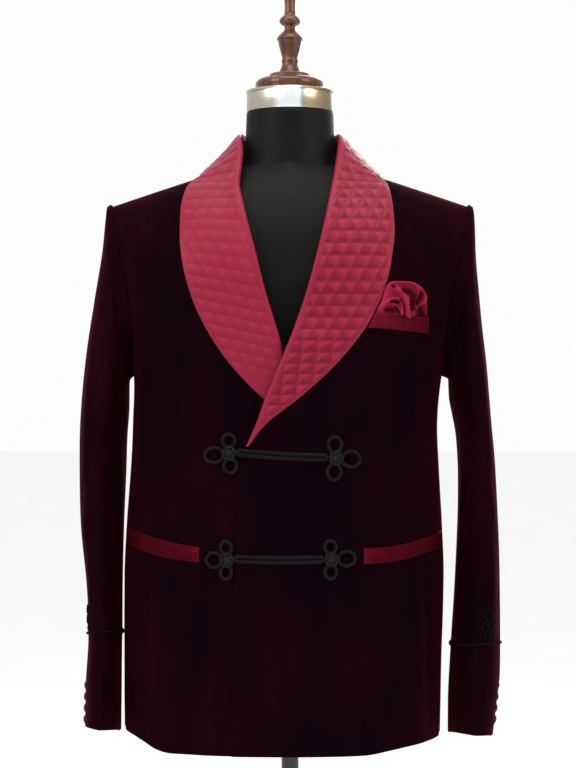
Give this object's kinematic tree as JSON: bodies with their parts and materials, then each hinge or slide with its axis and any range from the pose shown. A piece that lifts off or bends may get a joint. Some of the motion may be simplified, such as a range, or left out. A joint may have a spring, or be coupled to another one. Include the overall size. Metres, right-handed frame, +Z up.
{
  "type": "smoking jacket on a limbless dress form",
  "caption": "Double-breasted velvet smoking jacket with a quilted satin shawl collar and cord frogs, worn by a limbless dress form with a turned finial on a pole stand.",
  "frame": {"origin": "centre of the stand base's underside, on the floor", "axes": "+Z up along the pole, the jacket's front faces -Y, and the wearer's left is +X"},
  "size_m": [0.5411, 0.32, 1.6665],
  "materials": {
    "velvet": "burgundy velvet with a soft nap",
    "quilted_satin": "crimson satin, quilted in triangles",
    "plain_satin": "plain deep crimson satin",
    "cord": "black braided cord",
    "button": "dark button",
    "form_cover": "smooth black jersey",
    "silver_ring": "brushed",
    "finial_wood": "reddish brown gloss varnish",
    "stand_metal": "black satin paint"
  },
  "bodies": {
    "root": {"front_left": "velvet", "front_right": "velvet", "side_left": "velvet", "side_right": "velvet", "back_left": "velvet", "back_right": "velvet", "sleeve_left_top": "velvet", "sleeve_left_under": "velvet", "sleeve_right_top": "velvet", "sleeve_right_under": "velvet", "collar_left": "quilted_satin", "collar_right": "quilted_satin", "collar_stand": "quilted_satin", "breast_welt": "plain_satin", "hip_welt_left": "plain_satin", "hip_welt_right": "plain_satin", "pocket_square": "plain_satin", "frog_upper_left": "cord", "frog_upper_right": "cord", "frog_lower_left": "cord", "frog_lower_right": "cord", "frog_upper_bar": "cord", "frog_lower_bar": "cord", "cuff_braid_left": "cord", "cuff_braid_right": "cord", "cuff_button_left_1": "button", "cuff_button_left_2": "button", "cuff_button_left_3": "button", "cuff_button_left_4": "button", "cuff_button_right_1": "button", "cuff_button_right_2": "button", "cuff_button_right_3": "button", "cuff_button_right_4": "button", "form_torso": "form_cover", "neck_ring": "silver_ring", "neck_finial": "finial_wood", "stand_pole": "stand_metal", "stand_base": "stand_metal"}
  },
  "joints": []
}
